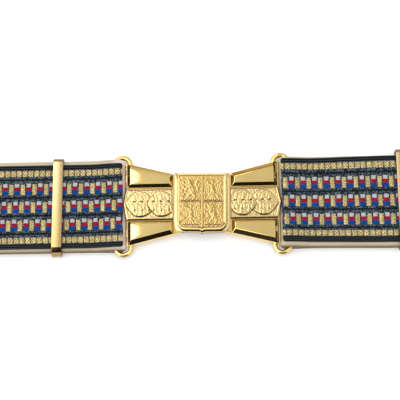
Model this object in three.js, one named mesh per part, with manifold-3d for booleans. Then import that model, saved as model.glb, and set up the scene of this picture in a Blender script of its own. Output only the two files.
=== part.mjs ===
// A ceremonial parade belt: a brocade band on a leather lining, two wire rings,
// two sliding keepers, and a gilt buckle of two wings and a quartered shield.
// Millimetres. The belt lies with its buckle face up: +X is to the wearer's left,
// +Y is the belt's upper edge, +Z is away from the table, and the origin is in the
// middle of the clasp plate's back face. From the keepers on, the strap leans over
// until it stands on its lower edge, and so it goes round behind.

import * as THREE from 'three';
import { mergeVertices } from 'three/addons/utils/BufferGeometryUtils.js';
import Module from 'manifold-3d';

const wasm = await Module();
wasm.setup();
const { Manifold, Mesh: ManifoldMesh } = wasm;

// Driving dimensions

const seat = 0.3; // gap between pieces that rest on each other
const strap = { width: 50, lining: 1.7, brocade: 1.4, brocadeWidth: 45.6, rightShift: 1.9 };
const loop = { straight: 170, reach: 235, widest: 58, back: 158 };
const lean = { start: 118, end: 265, lift: 5 };
const fold = { x: 43.8, inner: 1.7, height: 3.8, corner: 3.6, settled: 60, tail: 117, brocadeTurn: 12 };
const ring = { x: 42.1, straight: 22.6, radius: 4.0, wire: 1.05 };
const keeper = {
  width: 5.5, plate: 1.0, side: 0.4, topCorner: 3.0, backCorner: 1.8, holeCorner: 1.2,
  left: -76.9, right: 106,
};
const wing = {
  outer: 39.8, inner: 9, outerHalf: 22.4, innerHalf: 14.7,
  skirtBottom: 2.6, plateBottom: 4.9, plateTop: 7.0, skirt: 1.4,
};
const block = { end: 16, innerEdge: 9.1, top: 8.7, outerBevel: 2.2, innerBevel: 1.25, outerEnd: 1.9, innerEnd: 1.4 };
const lug = { from: 5, to: 14, half: 1.9, bottom: 1.9, clearance: 0.3, notch: 3.5 };
const panel = { shoulder: 39.5, tip: 41.5, half: 8.7, top: 8.1, border: 0.7, relief: 0.35, ridge: 0.28 };
const leaves = [
  { from: 39.0, to: 27.4, half: 6.7 },
  { from: 30.2, to: 15.9, half: 6.9 },
];
const shield = {
  half: 15, top: 16.2, waist: -10.4, corner: 9.4, foot: -15.9, cusp: -16.6,
  rim: 10.9, bevel: 1.5, bevelHeight: 1.2, turn: -1.1, clearance: 0.5,
};
const field = { half: 11.3, top: 14.6, bottom: -12.4, corner: 3.2, depth: 0.5, bar: 0.3, divide: 0.8 };
const clasp = { half: 26, height: 12, plate: 1.8, bossFrom: 14, bossTo: 24, postHalf: 8.4 };

// Relief figures as strokes: x, y and radius at each end of a stroke, in millimetres
// from the middle of a quarter of the shield.

const lionStrokes = [
  [0.9, -1.6, 1.25, -0.4, 2.0, 1.3],
  [-0.4, 2.0, 1.45, -0.9, 3.6, 1.2],
  [-0.9, 4.3, 0.95, -2.2, 4.3, 0.6],
  [-1.4, 3.6, 0.5, -2.4, 3.3, 0.25],
  [-0.6, 2.4, 0.7, -2.6, 2.5, 0.42],
  [-2.6, 2.5, 0.42, -3.9, 3.4, 0.5],
  [-0.5, 1.4, 0.65, -2.5, 0.5, 0.42],
  [-2.5, 0.5, 0.42, -3.9, 1.0, 0.5],
  [0.6, -1.6, 0.95, -1.2, -3.0, 0.55],
  [-1.2, -3.0, 0.55, -1.5, -4.4, 0.4],
  [-1.5, -4.4, 0.4, -2.8, -4.7, 0.42],
  [1.1, -1.9, 1.05, 1.7, -3.5, 0.6],
  [1.7, -3.5, 0.6, 1.0, -5.0, 0.4],
  [1.0, -5.0, 0.4, -0.3, -5.5, 0.42],
  [1.8, -1.4, 0.4, 3.2, -0.7, 0.3],
  [3.2, -0.7, 0.3, 3.1, 1.1, 0.3],
  [3.1, 1.1, 0.3, 2.2, 2.3, 0.3],
  [2.2, 2.3, 0.3, 3.1, 3.6, 0.5],
  [3.1, 3.6, 0.5, 3.9, 4.9, 0.15],
  [3.1, 3.6, 0.5, 2.5, 5.1, 0.15],
];
const eagleHalfStrokes = [
  [0, 2.2, 0.85, 0, -1.2, 1.15],
  [0, 3.0, 0.55, 0, 4.2, 0.6],
  [0.6, 2.0, 0.6, 2.4, 3.6, 0.55],
  [2.4, 3.6, 0.55, 3.7, 4.6, 0.45],
  [3.9, 4.5, 0.38, 4.5, 0.9, 0.22],
  [3.1, 4.0, 0.38, 3.8, -0.4, 0.22],
  [2.4, 3.3, 0.38, 3.0, -1.2, 0.22],
  [1.6, 2.6, 0.38, 2.1, -1.3, 0.22],
  [0.6, -1.4, 0.5, 1.8, -2.8, 0.3],
  [1.8, -2.8, 0.3, 2.5, -3.9, 0.24],
  [2.5, -3.9, 0.24, 3.3, -4.3, 0.12],
  [2.5, -3.9, 0.24, 2.0, -4.8, 0.12],
  [0, -2.0, 0.55, 0, -5.4, 0.32],
  [0.1, -2.2, 0.45, 1.2, -5.1, 0.28],
];
const eagleBeak = [-0.3, 4.3, 0.35, -1.4, 3.9, 0.12];

const materials = {
  gold: new THREE.MeshStandardMaterial({ color: 0xe8c26a, metalness: 1, roughness: 0.18 }),
  satinGold: new THREE.MeshStandardMaterial({ color: 0xecd08a, metalness: 1, roughness: 0.32 }),
  brocade: new THREE.MeshStandardMaterial({ color: 0x3a4148, metalness: 0.1, roughness: 0.8 }),
  leather: new THREE.MeshStandardMaterial({ color: 0xc9bca4, metalness: 0, roughness: 0.65 }),
};

// Small helpers

function smoothstep(from, to, value) {
  const t = THREE.MathUtils.clamp((value - from) / (to - from), 0, 1);
  return t * t * (3 - 2 * t);
}

function range(from, to, step) {
  const count = Math.max(1, Math.round(Math.abs(to - from) / step));
  return Array.from({ length: count + 1 }, (_, i) => from + ((to - from) * i) / count);
}

function closedGeometry(points, triangles) {
  const geometry = new THREE.BufferGeometry();
  geometry.setAttribute('position', new THREE.Float32BufferAttribute(points.flat(), 3));
  geometry.setIndex(signedVolume(points, triangles) < 0 ? flipped(triangles.flat()) : triangles.flat());
  return geometry;
}

function signedVolume(points, triangles) {
  let sum = 0;
  for (const [i, j, k] of triangles) {
    const [a, b, c] = [points[i], points[j], points[k]];
    sum += a[0] * (b[1] * c[2] - b[2] * c[1]) + a[1] * (b[2] * c[0] - b[0] * c[2]) + a[2] * (b[0] * c[1] - b[1] * c[0]);
  }
  return sum;
}

function flipped(index) {
  const turned = Array.from(index);
  for (let i = 0; i < turned.length; i += 3) {
    [turned[i + 1], turned[i + 2]] = [turned[i + 2], turned[i + 1]];
  }
  return turned;
}

function mirrored(geometry) {
  const copy = geometry.clone().scale(-1, 1, 1);
  copy.setIndex(flipped(copy.index.array));
  return copy;
}

function toSolid(geometry) {
  const bare = geometry.clone();
  bare.deleteAttribute('normal');
  bare.deleteAttribute('uv');
  const merged = mergeVertices(bare, 1e-4);
  const mesh = new ManifoldMesh({
    numProp: 3,
    vertProperties: new Float32Array(merged.attributes.position.array),
    triVerts: new Uint32Array(merged.index.array),
  });
  return new Manifold(mesh);
}

function toGeometry(solid) {
  const mesh = solid.getMesh();
  const geometry = new THREE.BufferGeometry();
  geometry.setAttribute('position', new THREE.BufferAttribute(new Float32Array(mesh.vertProperties), 3));
  geometry.setIndex(Array.from(mesh.triVerts));
  return geometry;
}

function joined(solids) {
  return solids.reduce((all, solid) => all.add(solid));
}

function boxSolid(x0, x1, y0, y1, z0, z1) {
  const box = new THREE.BoxGeometry(x1 - x0, y1 - y0, z1 - z0);
  return toSolid(box.translate((x0 + x1) / 2, (y0 + y1) / 2, (z0 + z1) / 2));
}

function slab(shape, z0, z1, curveSegments = 6) {
  const geometry = new THREE.ExtrudeGeometry(shape, { depth: z1 - z0, bevelEnabled: false, curveSegments });
  return toSolid(geometry.translate(0, 0, z0));
}

// A prism between two outlines with the same number of corners
function loftSolid(lower, z0, upper, z1) {
  const count = lower.length;
  const points = [...lower.map(([x, y]) => [x, y, z0]), ...upper.map(([x, y]) => [x, y, z1])];
  const triangles = [];
  for (let i = 0; i < count; i += 1) {
    const j = (i + 1) % count;
    triangles.push([i, j, count + j], [i, count + j, count + i]);
  }
  for (let i = 1; i < count - 1; i += 1) {
    triangles.push([0, i + 1, i], [count, count + i, count + i + 1]);
  }
  return toSolid(closedGeometry(points, triangles));
}

// The outline of a stroke whose radius changes from one end to the other
function strokeShape([x0, y0, r0, x1, y1, r1], arcSteps) {
  const along = Math.atan2(y1 - y0, x1 - x0);
  const spread = Math.acos(THREE.MathUtils.clamp((r0 - r1) / Math.hypot(x1 - x0, y1 - y0), -1, 1));
  const points = [];
  for (let i = 0; i <= arcSteps; i += 1) {
    const angle = along - spread + (2 * spread * i) / arcSteps;
    points.push(new THREE.Vector2(x1 + r1 * Math.cos(angle), y1 + r1 * Math.sin(angle)));
  }
  for (let i = 0; i <= arcSteps; i += 1) {
    const angle = along + spread + ((2 * Math.PI - 2 * spread) * i) / arcSteps;
    points.push(new THREE.Vector2(x0 + r0 * Math.cos(angle), y0 + r0 * Math.sin(angle)));
  }
  return new THREE.Shape(points);
}

function strokeSolids(strokes, z0, z1, arcSteps = 3) {
  return strokes.map((stroke) => slab(strokeShape(stroke, arcSteps), z0, z1));
}

// The strap's route: a plan curve for the left half, with the lean and height along it

const plan = new THREE.CurvePath();
plan.add(new THREE.LineCurve(new THREE.Vector2(0, 0), new THREE.Vector2(-loop.straight, 0)));
plan.add(new THREE.EllipseCurve(
  -loop.straight, loop.widest, loop.reach - loop.straight, loop.widest, -Math.PI / 2, -Math.PI, true));
plan.add(new THREE.EllipseCurve(
  0, loop.widest, loop.reach, loop.back - loop.widest, Math.PI, Math.PI / 2, true));
const halfLength = plan.getLength();

// The tail lies on the keepers' back plates, and the datum runs between it and the main layer
const tailBottom = keeper.plate + seat;
const datum = tailBottom + strap.lining + seat / 2;

function leanAt(d) {
  return (Math.PI / 2) * smoothstep(lean.start, lean.end, d);
}

function heightAt(d) {
  const angle = leanAt(d);
  const lift = lean.lift * Math.sin(2 * angle) ** 2;
  return datum * Math.cos(angle) + (strap.width / 2) * Math.sin(angle) + lift;
}

// Directions at a distance d from the buckle's middle: along the strap, out of its face, to its top edge
function strapFrame(d) {
  const t = Math.min(d / halfLength, 1);
  const point = plan.getPoint(t);
  const heading = plan.getTangent(t);
  const slope = heightAt(d + 0.5) - heightAt(d - 0.5);
  const along = new THREE.Vector3(heading.x, heading.y, slope).normalize();
  const angle = leanAt(d);
  const face = new THREE.Vector3(-heading.y * Math.sin(angle), heading.x * Math.sin(angle), Math.cos(angle));
  face.addScaledVector(along, -face.dot(along)).normalize();
  const top = new THREE.Vector3().crossVectors(along, face);
  return { origin: new THREE.Vector3(point.x, point.y, heightAt(d)), face, top };
}

function strapPoint(side, d, n, w) {
  const { origin, face, top } = strapFrame(d);
  const p = origin.addScaledVector(face, n).addScaledVector(top, w);
  return [p.x * -side, p.y, p.z];
}

// Near the fold the two layers part to let the ring's wire through
function pocketAt(d) {
  return THREE.MathUtils.lerp(fold.inner, seat / 2, smoothstep(fold.x, fold.settled, d));
}

function middleAt(d) {
  return (fold.height - datum) * (1 - smoothstep(fold.x, fold.settled, d));
}

// The strap's corners beside the ring are rounded
function halfWidthAt(d, half, end, corner) {
  const u = THREE.MathUtils.clamp((d - end) / corner, 0, 1);
  return half - corner * (1 - Math.sqrt(1 - (1 - u) ** 2));
}

const layerStations = [
  ...range(fold.x, 48, 0.9),
  ...range(50, fold.settled, 3.4),
  ...range(78, fold.tail, 20),
  ...range(lean.start + 4, lean.end, 5),
  ...range(lean.end + 8, halfLength, 12),
];

function liningStations() {
  const end = fold.x - fold.inner - strap.lining;
  const radius = fold.inner + strap.lining / 2;
  const half = (d) => halfWidthAt(d, strap.width / 2, end, fold.corner);
  const offset = (d) => pocketAt(d) + strap.lining / 2;
  const stations = [];
  for (const d of layerStations.filter((value) => value <= fold.tail).reverse()) {
    stations.push({ d, n: middleAt(d) - offset(d), half: half(d) });
  }
  for (const angle of range(-75, 75, 15).map(THREE.MathUtils.degToRad)) {
    const d = fold.x - radius * Math.cos(angle);
    stations.push({ d, n: middleAt(fold.x) + radius * Math.sin(angle), half: half(d) });
  }
  for (const d of layerStations) {
    stations.push({ d, n: middleAt(d) + offset(d), half: half(d) });
  }
  return stations;
}

function brocadeStations() {
  const radius = fold.inner + strap.lining + seat + strap.brocade / 2;
  const turn = THREE.MathUtils.degToRad(fold.brocadeTurn);
  const end = fold.x - radius * Math.sin(turn);
  const half = (d) => halfWidthAt(d, strap.brocadeWidth / 2, end - 0.2, 2.4);
  const stations = [];
  for (const angle of [turn, turn / 2]) {
    const d = fold.x - radius * Math.sin(angle);
    stations.push({ d, n: middleAt(fold.x) + radius * Math.cos(angle), half: half(d) });
  }
  for (const d of layerStations) {
    const n = middleAt(d) + pocketAt(d) + strap.lining + seat + strap.brocade / 2;
    stations.push({ d, n, half: half(d) });
  }
  return stations;
}

// On the right-hand half the brocade is sewn nearer to the upper edge
function shiftAt(side, d) {
  const settle = smoothstep(lean.end, halfLength, d);
  return side === 1 ? strap.rightShift * (1 - settle) : 0;
}

// A closed band from one end of the left half, round the back, to the same end of the right half
function band(stations, thickness, shifted, columns = 2) {
  const normals = stations.map((_, i) => {
    const before = stations[Math.max(i - 1, 0)];
    const after = stations[Math.min(i + 1, stations.length - 1)];
    return new THREE.Vector2(before.n - after.n, after.d - before.d).normalize();
  });
  const rows = [];
  for (const side of [-1, 1]) {
    const half = stations.map((station, i) => {
      const row = [];
      for (const offset of [thickness / 2, -thickness / 2]) {
        const d = station.d + normals[i].x * offset;
        const n = station.n + normals[i].y * offset;
        const shift = shifted ? shiftAt(side, station.d) : 0;
        for (let k = 0; k <= columns; k += 1) {
          row.push(strapPoint(side, d, n, station.half * (1 - (2 * k) / columns) + shift));
        }
      }
      return row;
    });
    rows.push(...(side === -1 ? half : half.reverse().slice(1)));
  }
  const size = 2 * (columns + 1);
  const outer = (row, k) => row * size + k;
  const inner = (row, k) => row * size + columns + 1 + k;
  const triangles = [];
  const quad = (a, b, c, d) => triangles.push([a, b, c], [a, c, d]);
  for (let r = 0; r < rows.length - 1; r += 1) {
    for (let k = 0; k < columns; k += 1) {
      quad(outer(r, k), outer(r, k + 1), outer(r + 1, k + 1), outer(r + 1, k));
      quad(inner(r + 1, k + 1), inner(r, k + 1), inner(r, k), inner(r + 1, k));
    }
    quad(inner(r, 0), outer(r, 0), outer(r + 1, 0), inner(r + 1, 0));
    quad(outer(r, columns), inner(r, columns), inner(r + 1, columns), outer(r + 1, columns));
  }
  const last = rows.length - 1;
  for (let k = 0; k < columns; k += 1) {
    quad(outer(0, k + 1), outer(0, k), inner(0, k), inner(0, k + 1));
    quad(outer(last, k), outer(last, k + 1), inner(last, k + 1), inner(last, k));
  }
  return closedGeometry(rows.flat(), triangles);
}

// An oval wire ring, standing on its long axis beside the buckle
function ringGeometry() {
  const sides = 8;
  const arcSteps = 10;
  const points = [];
  const triangles = [];
  for (const end of [1, -1]) {
    for (let i = 0; i <= arcSteps; i += 1) {
      const angle = (end === 1 ? 0 : Math.PI) + (Math.PI * i) / arcSteps;
      const [cx, cy] = [Math.cos(angle), Math.sin(angle)];
      for (let k = 0; k < sides; k += 1) {
        const turn = (2 * Math.PI * k) / sides;
        const reach = ring.radius + ring.wire * Math.cos(turn);
        const z = fold.height + ring.wire * Math.sin(turn);
        points.push([ring.x + reach * cx, end * ring.straight + reach * cy, z]);
      }
    }
  }
  const rows = points.length / sides;
  for (let r = 0; r < rows; r += 1) {
    const next = (r + 1) % rows;
    for (let k = 0; k < sides; k += 1) {
      const after = (k + 1) % sides;
      triangles.push([r * sides + k, next * sides + k, next * sides + after]);
      triangles.push([r * sides + k, next * sides + after, r * sides + after]);
    }
  }
  return closedGeometry(points, triangles);
}

// A rectangle with one corner radius at the front and another at the back
function keeperOutline(half, back, front, frontCorner, backCorner, target) {
  target.moveTo(-half + backCorner, back);
  target.lineTo(half - backCorner, back);
  target.absarc(half - backCorner, back + backCorner, backCorner, -Math.PI / 2, 0);
  target.lineTo(half, front - frontCorner);
  target.absarc(half - frontCorner, front - frontCorner, frontCorner, 0, Math.PI / 2);
  target.lineTo(-half + frontCorner, front);
  target.absarc(-half + frontCorner, front - frontCorner, frontCorner, Math.PI / 2, Math.PI);
  target.lineTo(-half, back + backCorner);
  target.absarc(-half + backCorner, back + backCorner, backCorner, Math.PI, 1.5 * Math.PI);
  target.closePath();
  return target;
}

const brocadeTop = datum + seat / 2 + strap.lining + seat + strap.brocade;

// A flat metal band bent round the strap, drawn in the Y-Z plane and stretched along X
function keeperGeometry() {
  const { plate, side, topCorner, backCorner, holeCorner, width } = keeper;
  const half = strap.width / 2 + side;
  const hole = keeperOutline(
    half, plate, brocadeTop + seat, holeCorner, backCorner - plate, new THREE.Path());
  const outline = keeperOutline(
    half + plate, 0, brocadeTop + seat + plate, topCorner, backCorner, new THREE.Shape());
  outline.holes.push(hole);
  const geometry = new THREE.ExtrudeGeometry(outline, { depth: width, bevelEnabled: false, curveSegments: 6 });
  geometry.translate(0, 0, -width / 2);
  geometry.applyMatrix4(new THREE.Matrix4().makeBasis(
    new THREE.Vector3(0, 1, 0), new THREE.Vector3(0, 0, 1), new THREE.Vector3(1, 0, 0)));
  return geometry;
}

const wingSlope = (wing.outerHalf - wing.innerHalf) / (wing.outer - wing.inner);

function wingHalfAt(x) {
  return wing.outerHalf - (wing.outer - x) * wingSlope;
}

function outlineShape(points) {
  return new THREE.Shape(points.map(([x, y]) => new THREE.Vector2(x, y)));
}

function wingOutline(inset) {
  const [outer, inner] = [wing.outer - inset, wing.inner + inset];
  return [
    [inner, -wingHalfAt(inner) + inset], [outer, -wingHalfAt(outer) + inset],
    [outer, wingHalfAt(outer) - inset], [inner, wingHalfAt(inner) - inset],
  ];
}

// A raised block with bevelled sides; hand is +1 for the upper one and -1 for the lower one
function blockSolid(hand) {
  const slant = block.outerBevel * Math.hypot(1, wingSlope);
  const [outer, inner] = [wing.outer - block.outerEnd, block.end + block.innerEnd];
  const lower = [
    [wing.outer, block.innerEdge], [wing.outer, wing.outerHalf],
    [block.end, wingHalfAt(block.end)], [block.end, block.innerEdge],
  ];
  const upper = [
    [outer, block.innerEdge + block.innerBevel], [outer, wingHalfAt(outer) - slant],
    [inner, wingHalfAt(inner) - slant], [inner, block.innerEdge + block.innerBevel],
  ];
  const turned = (points) => points.map(([x, y]) => [x, y * hand]);
  return loftSolid(turned(lower), wing.plateTop, turned(upper), block.top);
}

// The right wing: a plate with a skirt, two blocks on it, and two lugs that hold the ring's leg
function wingGeometry() {
  const { skirtBottom, plateBottom, plateTop, skirt } = wing;
  const legX = ring.x - ring.radius;
  const bore = ring.wire + lug.clearance;
  let solid = slab(outlineShape(wingOutline(0)), skirtBottom, plateTop);
  solid = solid.subtract(slab(outlineShape(wingOutline(skirt)), skirtBottom - 1, plateBottom));
  const notchBottom = skirtBottom - 1;
  for (const hand of [1, -1]) {
    solid = solid.add(blockSolid(hand));
    const [y0, y1] = [lug.from * hand, lug.to * hand].sort((a, b) => a - b);
    solid = solid.add(boxSolid(legX - lug.half, legX + lug.half, y0, y1, lug.bottom, plateBottom + 0.1));
  }
  const legBore = new THREE.CylinderGeometry(bore, bore, 2 * wing.outerHalf + 10, 12);
  solid = solid.subtract(toSolid(legBore.translate(legX, 0, fold.height)));
  for (const hand of [1, -1]) {
    const [y0, y1] = [ring.straight * hand - lug.notch, ring.straight * hand + lug.notch];
    solid = solid.subtract(boxSolid(legX - bore, wing.outer + 1, y0, y1, notchBottom, fold.height + bore));
  }
  return toGeometry(solid);
}

function leafStrokes({ from, to, half }) {
  const middle = (from + to) / 2;
  const reach = (from - to) / 2;
  const steps = 16;
  const outline = [];
  for (let i = 0; i <= steps; i += 1) {
    const angle = (2 * Math.PI * i) / steps;
    const bulge = 1 - 0.12 * Math.cos(angle);
    outline.push([middle + reach * Math.cos(angle), half * Math.sin(angle) * bulge]);
  }
  const strokes = outline.slice(1).map(([x, y], i) => [...outline[i], panel.ridge, x, y, panel.ridge]);
  strokes.push([to + 1, 0, panel.ridge, from - 1, 0, panel.ridge]);
  for (const t of [0.25, 0.5, 0.75]) {
    const x = to + (from - to) * t;
    for (const hand of [1, -1]) {
      strokes.push([x, 0, panel.ridge, x + reach * 0.3, half * 0.6 * hand, panel.ridge * 0.7]);
    }
  }
  return strokes;
}

// The ornamental panel between the blocks of the right wing
function panelGeometry() {
  const bottom = wing.plateTop + seat;
  const inner = shield.half + shield.clearance;
  const outline = [
    [inner, -panel.half], [panel.shoulder, -panel.half], [panel.tip, 0],
    [panel.shoulder, panel.half], [inner, panel.half],
  ];
  const solids = [slab(outlineShape(outline), bottom, panel.top)];
  const trimmed = slab(outlineShape(outline), bottom, panel.top + 1);
  const reliefTop = panel.top + panel.relief;
  for (const hand of [1, -1]) {
    const y = (panel.half - panel.border - panel.ridge) * hand;
    const line = [inner + 0.6, y, panel.ridge, panel.shoulder - 0.6, y, panel.ridge];
    solids.push(...strokeSolids([line], panel.top - 0.2, reliefTop));
  }
  for (const leaf of leaves) {
    solids.push(...strokeSolids(leafStrokes(leaf), panel.top - 0.2, reliefTop, 2));
  }
  return toGeometry(joined(solids).intersect(trimmed));
}

function shieldShape() {
  const { half, top, waist, corner, foot, cusp } = shield;
  const shape = new THREE.Shape();
  shape.moveTo(-half, top);
  shape.lineTo(-half, waist);
  shape.quadraticCurveTo(-half, foot, -corner, foot);
  shape.lineTo(-1.6, foot - 0.1);
  shape.lineTo(0, cusp);
  shape.lineTo(1.6, foot - 0.1);
  shape.lineTo(corner, foot);
  shape.quadraticCurveTo(half, foot, half, waist);
  shape.lineTo(half, top);
  shape.closePath();
  return shape;
}

function fieldShape() {
  const { half, top, bottom, corner } = field;
  const shape = new THREE.Shape();
  shape.moveTo(-half, top);
  shape.lineTo(-half, bottom + corner);
  shape.quadraticCurveTo(-half, bottom, -half + corner, bottom);
  shape.lineTo(-1.4, bottom);
  shape.lineTo(0, bottom - 0.8);
  shape.lineTo(1.4, bottom);
  shape.lineTo(half - corner, bottom);
  shape.quadraticCurveTo(half, bottom, half, bottom + corner);
  shape.lineTo(half, top);
  shape.closePath();
  return shape;
}

function placed(strokes, cx, cy, scale) {
  return strokes.map(([x0, y0, r0, x1, y1, r1]) => [
    cx + x0 * scale, cy + y0 * scale, r0 * scale, cx + x1 * scale, cy + y1 * scale, r1 * scale,
  ]);
}

function eagleStrokes() {
  const other = eagleHalfStrokes
    .filter(([x0, , , x1]) => x0 !== 0 || x1 !== 0)
    .map(([x0, y0, r0, x1, y1, r1]) => [-x0, y0, r0, -x1, y1, r1]);
  return [...eagleHalfStrokes, ...other, eagleBeak];
}

// The shield: a bevelled plate with a sunk field, parted in four, a figure raised in each quarter
function shieldGeometry() {
  const bottom = wing.plateTop + seat;
  const floor = shield.rim - field.depth;
  const depth = shield.rim - bottom;
  const body = new THREE.ExtrudeGeometry(shieldShape(), {
    depth, bevelEnabled: true, bevelThickness: shield.bevelHeight, bevelSize: shield.bevel,
    bevelOffset: -shield.bevel, bevelSegments: 2, curveSegments: 6,
  });
  body.translate(0, 0, bottom - shield.bevelHeight);
  const reach = shield.half + 5;
  let solid = toSolid(body).subtract(boxSolid(-reach, reach, -reach, reach, bottom - 5, bottom));
  solid = solid.subtract(slab(fieldShape(), floor, shield.rim + 1));
  const figureTop = shield.rim - 0.05;
  const figureBottom = floor - 0.2;
  const { half, top, divide, bar } = field;
  const cusp = field.bottom - 0.8;
  const bars = [
    boxSolid(-bar, bar, cusp, top + 0.1, figureBottom, figureTop),
    boxSolid(-half - 0.1, half + 0.1, divide - bar, divide + bar, figureBottom, figureTop),
  ];
  const columns = [-half / 2, half / 2];
  const upperRow = (top + divide) / 2;
  const lowerRow = (field.bottom + divide) / 2;
  const figures = [
    ...placed(lionStrokes, columns[0], upperRow, 1.08),
    ...placed(eagleStrokes(), columns[1], upperRow, 1.08),
    ...placed(eagleStrokes(), columns[0], lowerRow, 1.05),
    ...placed(lionStrokes, columns[1], lowerRow, 1.05),
  ];
  const geometry = toGeometry(joined([solid, ...bars, ...strokeSolids(figures, figureBottom, figureTop)]));
  return geometry.rotateZ(THREE.MathUtils.degToRad(shield.turn));
}

// The plain clasp behind the shield: a plate, a boss under each wing and a post under the shield
function claspGeometry() {
  const { half, height, plate, bossFrom, bossTo, postHalf } = clasp;
  const y = height / 2;
  const bossTop = wing.plateBottom - seat;
  return toGeometry(joined([
    boxSolid(-half, half, -y, y, 0, plate),
    boxSolid(bossFrom, bossTo, -y, y, plate - 0.5, bossTop),
    boxSolid(-bossTo, -bossFrom, -y, y, plate - 0.5, bossTop),
    boxSolid(-postHalf, postHalf, -y, y, plate - 0.5, wing.plateTop),
  ]));
}

const belt = new THREE.Group();

function addPiece(name, geometry, material, x = 0) {
  const mesh = new THREE.Mesh(geometry, material);
  mesh.name = name;
  mesh.position.x = x;
  belt.add(mesh);
}

addPiece('lining_strap', band(liningStations(), strap.lining, false), materials.leather);
addPiece('brocade_band', band(brocadeStations(), strap.brocade, true), materials.brocade);
addPiece('keeper_left', keeperGeometry(), materials.satinGold, keeper.left);
addPiece('keeper_right', keeperGeometry(), materials.satinGold, keeper.right);
for (const [name, make] of [['ring', ringGeometry], ['wing', wingGeometry], ['leaf_panel', panelGeometry]]) {
  const right = make();
  addPiece(`${name}_right`, right, materials.gold);
  addPiece(`${name}_left`, mirrored(right), materials.gold);
}
addPiece('shield', shieldGeometry(), materials.gold);
addPiece('clasp_plate', claspGeometry(), materials.gold);

export default belt;
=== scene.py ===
"""The looks of a ceremonial parade belt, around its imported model.

Lengths named here are in millimetres, in the model's frame, and turn into metres when a mesh is made.
The belt lies with its face up: +X to the right, +Y to its upper edge, +Z out of the buckle's face.
"""

import math

import bpy
import numpy as np
from mathutils import Matrix, Vector


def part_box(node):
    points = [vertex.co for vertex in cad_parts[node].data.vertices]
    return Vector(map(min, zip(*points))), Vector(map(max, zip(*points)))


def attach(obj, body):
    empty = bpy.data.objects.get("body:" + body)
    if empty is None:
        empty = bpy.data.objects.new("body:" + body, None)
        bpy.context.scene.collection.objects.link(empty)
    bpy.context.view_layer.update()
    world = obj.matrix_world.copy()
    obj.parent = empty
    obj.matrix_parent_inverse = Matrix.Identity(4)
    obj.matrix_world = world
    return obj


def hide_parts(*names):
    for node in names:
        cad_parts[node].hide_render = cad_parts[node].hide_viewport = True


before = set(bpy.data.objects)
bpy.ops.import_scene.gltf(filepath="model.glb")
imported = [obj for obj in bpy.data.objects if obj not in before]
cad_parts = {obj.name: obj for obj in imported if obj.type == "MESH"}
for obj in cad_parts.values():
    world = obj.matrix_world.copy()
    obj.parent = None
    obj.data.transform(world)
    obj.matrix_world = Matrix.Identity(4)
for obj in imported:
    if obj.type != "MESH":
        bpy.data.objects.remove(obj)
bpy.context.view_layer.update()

MM = 0.001

# The strap: its plan, its lean and its layers, and how far the band's middle is above it on the right
STRAIGHT, REACH, WIDEST, BACK = 170.0, 235.0, 58.0, 158.0
LEAN_START, LEAN_END, LIFT = 118.0, 265.0, 5.0
SEAT = 0.3
STRAP_WIDTH, LINING, BROCADE, BROCADE_WIDTH, RIGHT_SHIFT = 50.0, 1.7, 1.4, 45.6, 0.95
ROUTE_STEP = 0.25

# The fold round a ring: where the layers have met again, the tail's end and how far the band goes round
FOLD_X, FOLD_INNER, FOLD_HEIGHT, FOLD_CORNER = 43.8, 1.7, 3.8, 3.6
SETTLED, TAIL, BROCADE_TURN = 60.0, 117.0, 21

# The lower edges near the buckle, drawn in on each side, and the growth of the right half's band
LINING_IN, BAND_IN = {-1: 0.4, 1: 0.7}, 0.35
GROWTH, GROWTH_MORE = 0.005, 0.04

# The weave along the band: its period, where it starts, and its stretch and slant at the left end
WEAVE_PERIOD, BLOCK_PHASE, WEAVE_START = 6.306, 1.2, 0.23
STRETCHED, STRETCH, STRETCH_START = 75, 0.0204, -0.6
BACK_SHIFT, SLANT, SLANT_CHANGE = 0.78, 0.075, -0.082

# The weave across: rows of blocks, a twisted row above and below them, and the selvedges
ROW_PITCH, ROW_MIDDLE, ROWS_EDGE = 9.85, 0.05, 14.8
TWIST_UPPER, TWIST_LOWER, TWIST_HALF = 18.15, -18.3, 1.6
LOBE_HALF, WHITE_FROM = 1.2, 0.9
SELVEDGE, CORD = 20.7, 1.08
PLAIT, RIB = 1.577, 1.2
ROWS_DROP, EDGE_RISE = 0.45, 0.3
BLOCK_RISE, GOLD_RISE, TWIST_RISE, CORD_RISE, WEAVE_GROUND = 0.34, 0.3, 0.34, 0.26, 0.07

# The keepers: their slant, upper bend and lower bevels, and how the right one differs
KEEPER_PLATE, KEEPER_EDGE = 1.0, 0.28
DATUM = KEEPER_PLATE + SEAT + LINING + SEAT / 2
KEEPER_SKEW = {"keeper_left": 0.022, "keeper_right": -0.003}
KEEPER_BEND, KEEPER_BEVEL, KEEPER_FOOT = 2.9, (4.0, 1.55), (1.45, 4.6)
KEEPER_RADII = (1.7, 1.7, KEEPER_BEND, 0.4, 0.4, 0.8)
RIGHT_TALLER, RIGHT_FURTHER = 1.8, 0.6

# The wings, with the lip over the strap's fold, the blocks and their pockets, and the ring's lugs
WING_OUTER, WING_INNER, WING_OUTER_HALF, WING_INNER_HALF = 39.8, 9.0, 22.4, 14.7
WING_SLOPE = (WING_OUTER_HALF - WING_INNER_HALF) / (WING_OUTER - WING_INNER)
SKIRT_BOTTOM, PLATE_BOTTOM, PLATE_TOP, SKIRT = 2.6, 4.9, 7.0, 1.4
WING_LIP, LIP_BOTTOM = {-1: 0.6, 1: 1.1}, 6.3
BLOCK_END, FACE_END, BLOCK_EDGE, BLOCK_TOP, RIM = 15.4, 37.9, 9.1, 8.7, 0.75
POCKETS, POCKET_INNER, POCKET_OUTER, POCKET_FLOOR = ((9.8, 13.0), (16.0, 20.6)), 38.35, 39.3, 5.9
LUG_FROM, LUG_TO, LUG_HALF, LUG_BOTTOM, LUG_BORE, NOTCH = 5.0, 14.0, 1.9, 1.9, 1.35, 3.5
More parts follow.
